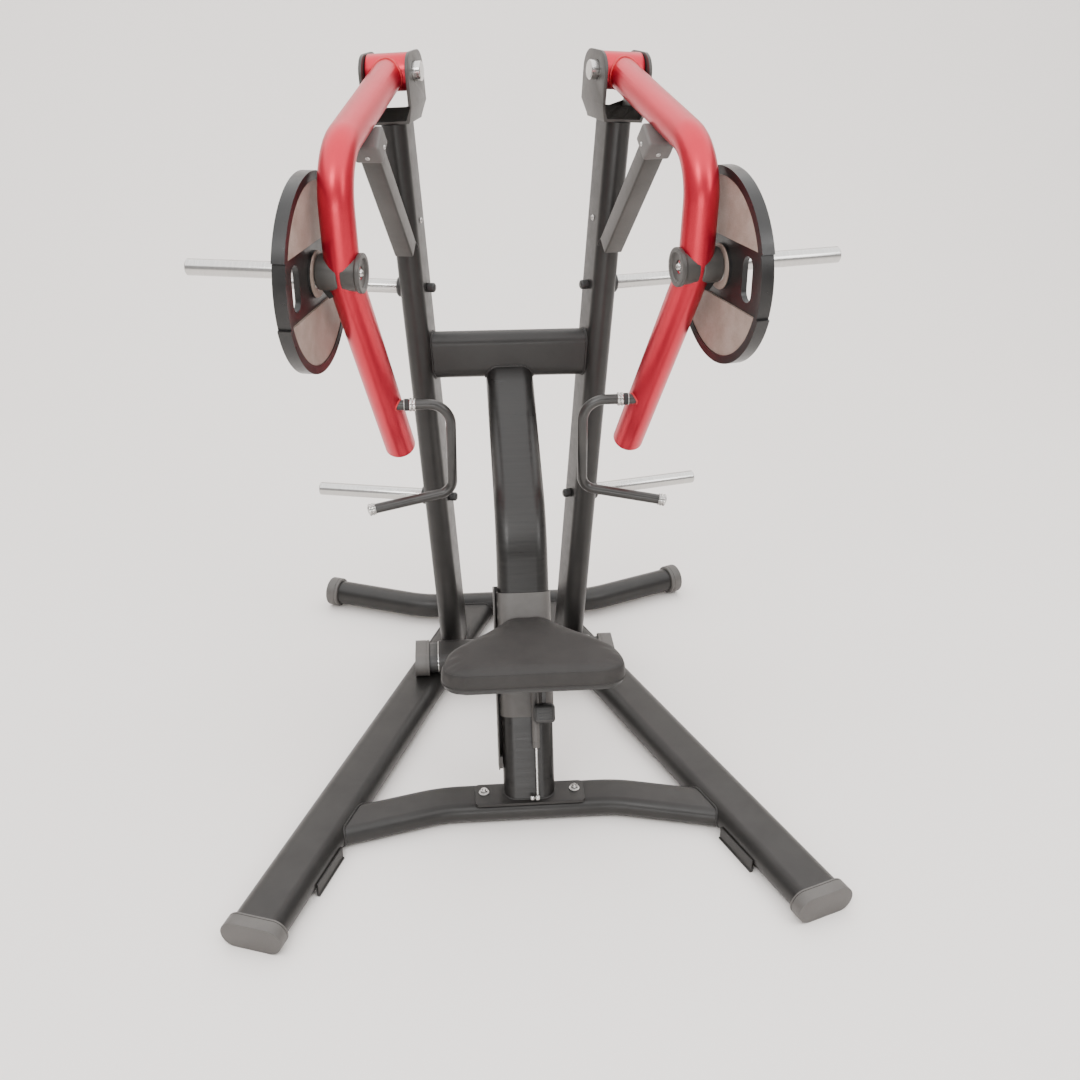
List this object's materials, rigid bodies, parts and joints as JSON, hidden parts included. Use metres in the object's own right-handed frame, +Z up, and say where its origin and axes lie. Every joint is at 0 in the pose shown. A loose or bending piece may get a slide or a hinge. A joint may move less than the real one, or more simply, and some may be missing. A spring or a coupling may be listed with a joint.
{
  "type": "chest press machine",
  "caption": "Plate-loaded chest press machine: splayed oval-tube base, leaning seat column, uprights, and overhead-pivoted swing arms with weight horns and bent grips.",
  "frame": {"origin": "on the floor, under the middle of the machine's bounding box", "axes": "+Z up, -Y towards the open front where the user gets on the seat, +X to the right as seen from the front"},
  "size_m": [1.4732, 1.6196, 1.7448],
  "materials": {
    "frame_paint": "satin dark grey powder coat on steel tube",
    "red_paint": "satin red metallic powder coat on steel tube",
    "grey_plastic": "light grey moulded plastic",
    "grey_rubber": "grey rubber bumper",
    "black_plastic": "black moulded knob",
    "grip_paint": "black satin paint on steel bar",
    "chrome": "bright chrome plate on steel",
    "plate_paint": "taupe paint on cast iron with a dark rim",
    "seat_leather": "grained dark grey upholstery over foam"
  },
  "bodies": {
    "frame": {"column_base_plate": "frame_paint", "cross_beam": "frame_paint", "foot_cross_tube": "frame_paint", "front_cross_tube": "frame_paint", "gas_spring_rod": "chrome", "height_rail": "frame_paint", "left_base_bolt": "chrome", "left_bumper": "grey_rubber", "left_clevis": "frame_paint", "left_floor_bracket": "frame_paint", "left_foot_cap": "grey_plastic", "left_foot_tube_cap": "grey_plastic", "left_leg": "frame_paint", "left_pivot_pin": "chrome", "left_rear_cap": "grey_plastic", "left_stop_arm": "frame_paint", "left_storage_horn_lower": "chrome", "left_storage_horn_upper": "chrome", "left_upright": "frame_paint", "rear_cross_tube": "frame_paint", "right_base_bolt": "chrome", "right_bumper": "grey_rubber", "right_clevis": "frame_paint", "right_floor_bracket": "frame_paint", "right_foot_cap": "grey_plastic", "right_foot_tube_cap": "grey_plastic", "right_leg": "frame_paint", "right_pivot_pin": "chrome", "right_rear_cap": "grey_plastic", "right_stop_arm": "frame_paint", "right_storage_horn_lower": "chrome", "right_storage_horn_upper": "chrome", "right_upright": "frame_paint", "seat_column": "frame_paint"},
    "left_arm": {"left_arm_end": "red_paint", "left_arm_tube": "red_paint", "left_handle": "grip_paint", "left_handle_collar": "chrome", "left_handle_tip": "chrome", "left_pivot_hub": "red_paint", "left_tee_inner": "frame_paint", "left_tee_outer": "frame_paint", "left_weight_horn": "chrome"},
    "right_arm": {"right_arm_end": "red_paint", "right_arm_tube": "red_paint", "right_handle": "grip_paint", "right_handle_collar": "chrome", "right_handle_tip": "chrome", "right_pivot_hub": "red_paint", "right_tee_inner": "frame_paint", "right_tee_outer": "frame_paint", "right_weight_horn": "chrome"},
    "left_weight": {"left_plate": "plate_paint"},
    "right_weight": {"right_plate": "plate_paint"},
    "seat_carriage": {"seat_sleeve": "grey_plastic", "seat_bracket": "frame_paint", "seat_pad": "seat_leather", "gas_spring_cylinder": "grey_plastic"},
    "seat_release": {"release_lever": "grey_plastic", "release_knob": "black_plastic"}
  },
  "joints": [
    {"name": "left_arm_swing", "type": "hinge", "parent": "frame", "child": "left_arm", "pos_m": [-0.283, 0.3715, 1.695], "axis": [-0.9724, 0.2245, -0.0628], "range_deg": [0, 60]},
    {"name": "right_arm_swing", "type": "hinge", "parent": "frame", "child": "right_arm", "pos_m": [0.283, 0.3715, 1.695], "axis": [-0.9724, -0.2245, 0.0628], "range_deg": [0, 60]},
    {"name": "left_plate_slide", "type": "slide", "parent": "left_arm", "child": "left_weight", "axis": [-0.9744, 0.225, 0], "range_m": [0, 0.32]},
    {"name": "right_plate_slide", "type": "slide", "parent": "right_arm", "child": "right_weight", "axis": [0.9744, 0.225, 0], "range_m": [0, 0.32]},
    {"name": "seat_slide", "type": "slide", "parent": "frame", "child": "seat_carriage", "axis": [0, 0.3795, 0.9252], "range_m": [-0.085, 0.06]},
    {"name": "seat_release", "type": "hinge", "parent": "seat_carriage", "child": "seat_release", "pos_m": [0.038, -0.31687, 0.36236], "axis": [-1, 0, 0], "range_deg": [0, 15], "stiffness_Nm_per_rad": 2, "springref_deg": -5.73}
  ]
}
